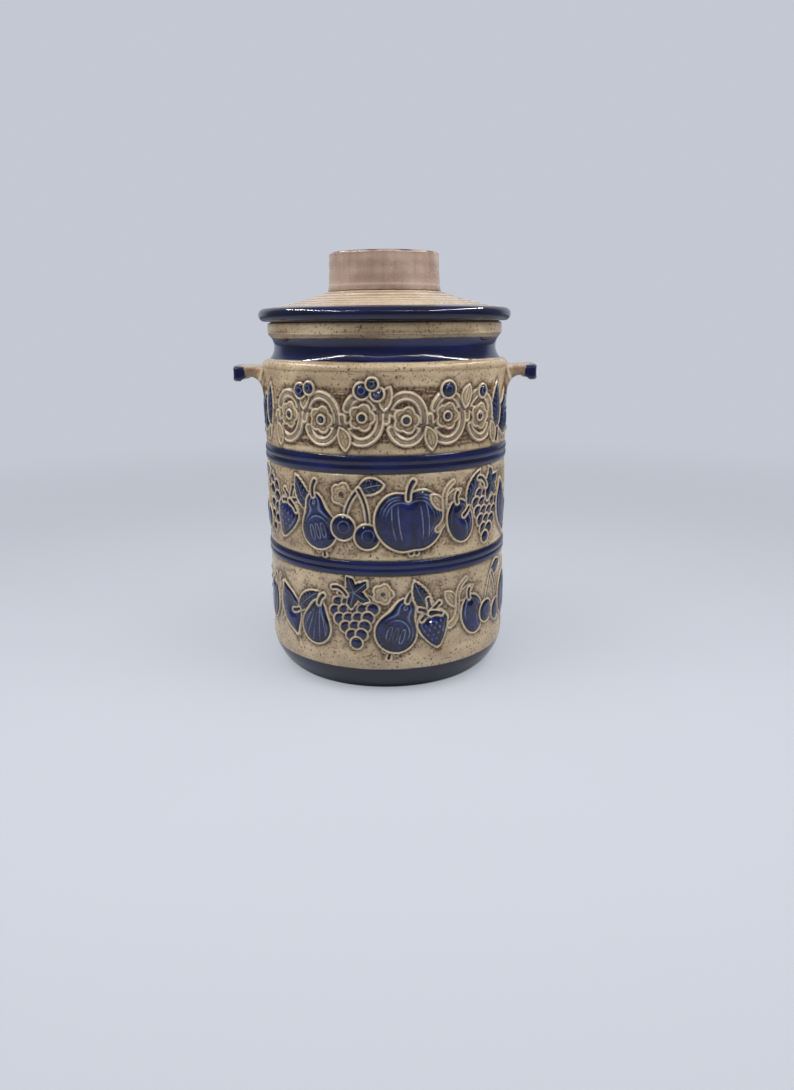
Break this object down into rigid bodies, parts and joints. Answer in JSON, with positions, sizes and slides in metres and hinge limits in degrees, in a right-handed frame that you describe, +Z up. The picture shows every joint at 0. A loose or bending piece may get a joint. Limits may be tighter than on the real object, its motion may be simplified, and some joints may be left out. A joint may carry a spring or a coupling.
{
  "type": "rumtopf pot",
  "caption": "Tall stoneware rumtopf crock with three relief fruit bands between rolled cordons, a cove neck, two solid lug handles and a lift-off lid with a wide hollow knob.",
  "frame": {"origin": "centre of the foot, on the surface that the jar stands on", "axes": "+Z up along the turning axis of jar and lid; the lug handles lie along X; the front of the jar faces -Y"},
  "size_m": [0.234, 0.1912, 0.3162],
  "materials": {
    "jar_glaze": "glossy tan salt glaze over buff stoneware, cobalt blue cordons, neck and foot, brown wash in the relief",
    "lug_glaze": "glossy tan glaze with cobalt blue on the outer lip",
    "lid_glaze": "glossy tan glaze with fine turning rings, cobalt blue rolled edge",
    "knob_glaze": "glossy pinkish tan glaze, cobalt blue rim"
  },
  "bodies": {
    "jar": {"pot_body": "jar_glaze", "handle_left": "lug_glaze", "handle_right": "lug_glaze"},
    "lid": {"lid_plate": "lid_glaze", "lid_knob": "knob_glaze"}
  },
  "joints": [
    {"name": "lid_lift", "type": "slide", "parent": "jar", "child": "lid", "axis": [0, 0, 1], "range_m": [0, 0.2]}
  ]
}
